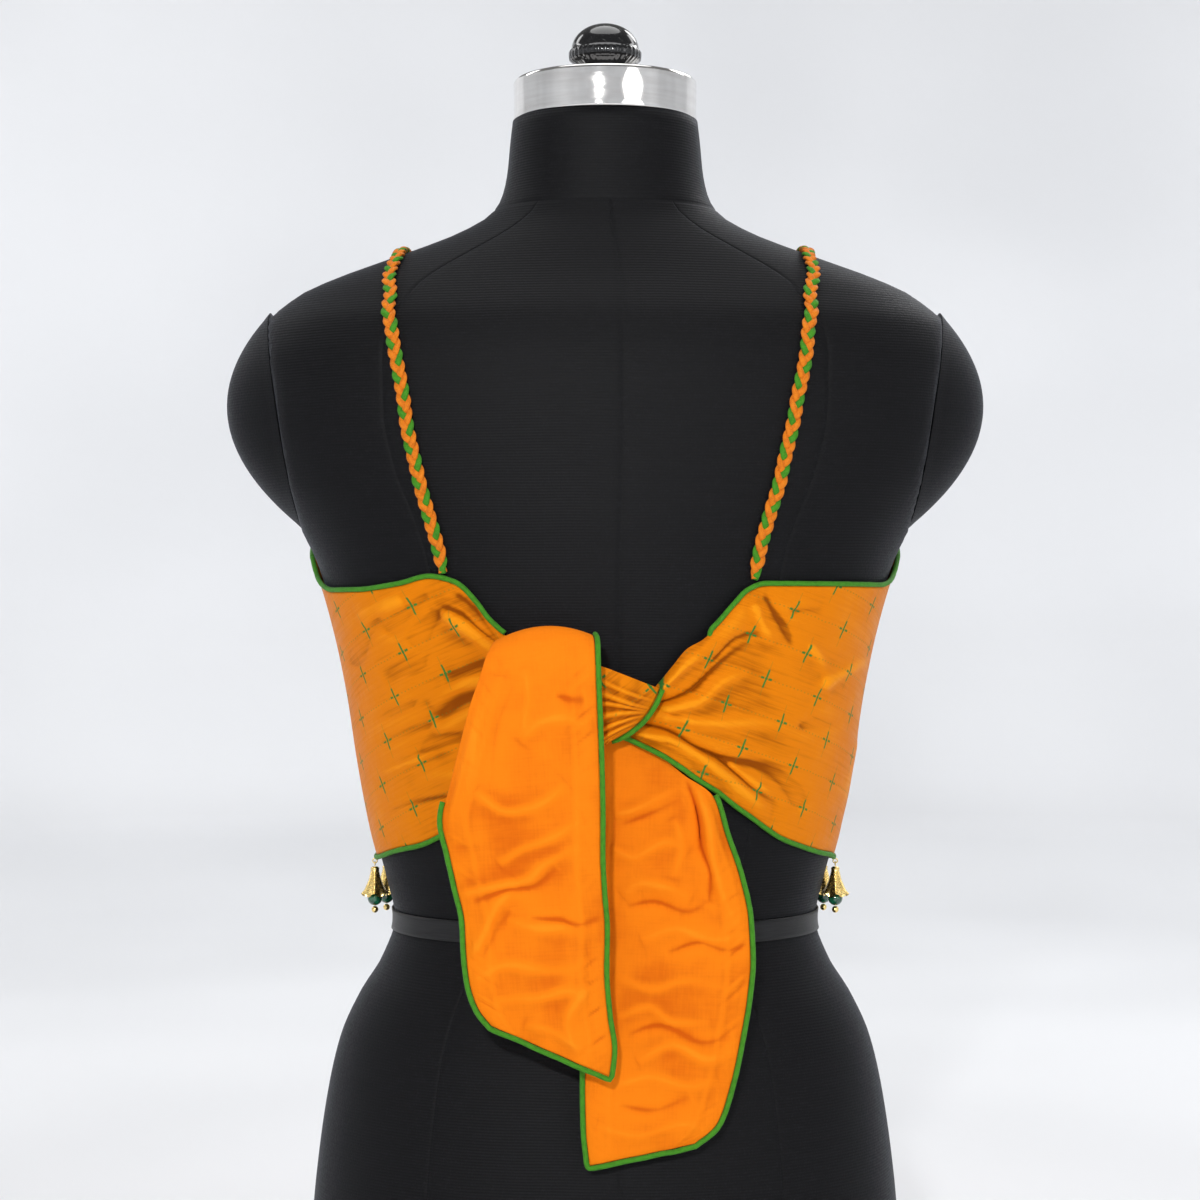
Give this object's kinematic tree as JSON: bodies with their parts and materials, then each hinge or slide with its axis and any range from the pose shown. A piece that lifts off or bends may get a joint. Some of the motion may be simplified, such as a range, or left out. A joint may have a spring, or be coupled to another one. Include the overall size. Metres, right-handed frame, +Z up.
{
  "type": "sleeveless blouse on a dress form",
  "caption": "Sleeveless silk blouse with plaited straps, piped edges, hem bells and a knotted tie back, worn by a limbless black dress form.",
  "frame": {"origin": "middle of the dress form's flat base", "axes": "+Z up; the wearer's back, with the knot, faces -Y and the bust faces +Y; +X is the wearer's right"},
  "size_m": [0.444, 0.2793, 0.794],
  "materials": {
    "silk": "golden orange slubbed silk with small green crosses, soft sheen",
    "lining": "bright orange plain cotton lining, matt and a little creased",
    "piping": "green bias piping",
    "strap": "three-strand plait, two orange silk strands and one green",
    "jersey": "black knitted cover, matt with fine cross ribs",
    "tape": "black satin tape, slightly shiny",
    "chrome": "polished chrome",
    "knob": "glossy black with a fine milled rim",
    "gold": "bright gold-coloured metal, finely ribbed",
    "glass": "dark green glass, glossy"
  },
  "bodies": {
    "root": {"form_torso": "jersey", "form_arm_cap_left": "jersey", "form_arm_cap_right": "jersey", "form_waist_tape": "tape", "form_neck_cap": "chrome", "form_knob": "knob", "back_left": "silk", "back_right": "silk", "front": "silk", "knot_wrap": "silk", "tail_front": "lining", "tail_rear": "lining", "piping_back_left_top": "piping", "piping_back_left_hem": "piping", "piping_back_right_top": "piping", "piping_back_right_hem": "piping", "piping_knot": "piping", "piping_tail_front": "piping", "piping_tail_rear": "piping", "piping_neckline": "piping", "piping_armhole_left": "piping", "piping_armhole_right": "piping", "piping_front_hem": "piping", "strap_left": "strap", "strap_right": "strap", "latkan_left_1_loop": "gold", "latkan_left_2_loop": "gold", "latkan_right_1_loop": "gold", "latkan_right_2_loop": "gold"},
    "latkan_left_1": {"latkan_left_1_eye": "gold", "latkan_left_1_bell": "gold", "latkan_left_1_bead": "glass", "latkan_left_1_tip": "gold"},
    "latkan_left_2": {"latkan_left_2_eye": "gold", "latkan_left_2_bell": "gold", "latkan_left_2_bead": "glass", "latkan_left_2_tip": "gold"},
    "latkan_right_1": {"latkan_right_1_eye": "gold", "latkan_right_1_bell": "gold", "latkan_right_1_bead": "glass", "latkan_right_1_tip": "gold"},
    "latkan_right_2": {"latkan_right_2_eye": "gold", "latkan_right_2_bell": "gold", "latkan_right_2_bead": "glass", "latkan_right_2_tip": "gold"}
  },
  "joints": [
    {"name": "latkan_left_1_swing", "type": "hinge", "parent": "root", "child": "latkan_left_1", "pos_m": [-0.13557, -0.0024, 0.30009], "axis": [-0.0171, 0.9999, 0], "range_deg": [0, 75]},
    {"name": "latkan_left_2_swing", "type": "hinge", "parent": "root", "child": "latkan_left_2", "pos_m": [-0.13122, 0.02672, 0.29782], "axis": [0.296, 0.9552, 0], "range_deg": [0, 75]},
    {"name": "latkan_right_1_swing", "type": "hinge", "parent": "root", "child": "latkan_right_1", "pos_m": [0.13557, -0.0024, 0.30009], "axis": [-0.0171, -0.9999, 0], "range_deg": [0, 75]},
    {"name": "latkan_right_2_swing", "type": "hinge", "parent": "root", "child": "latkan_right_2", "pos_m": [0.13122, 0.02672, 0.29782], "axis": [0.296, -0.9552, 0], "range_deg": [0, 75]}
  ]
}
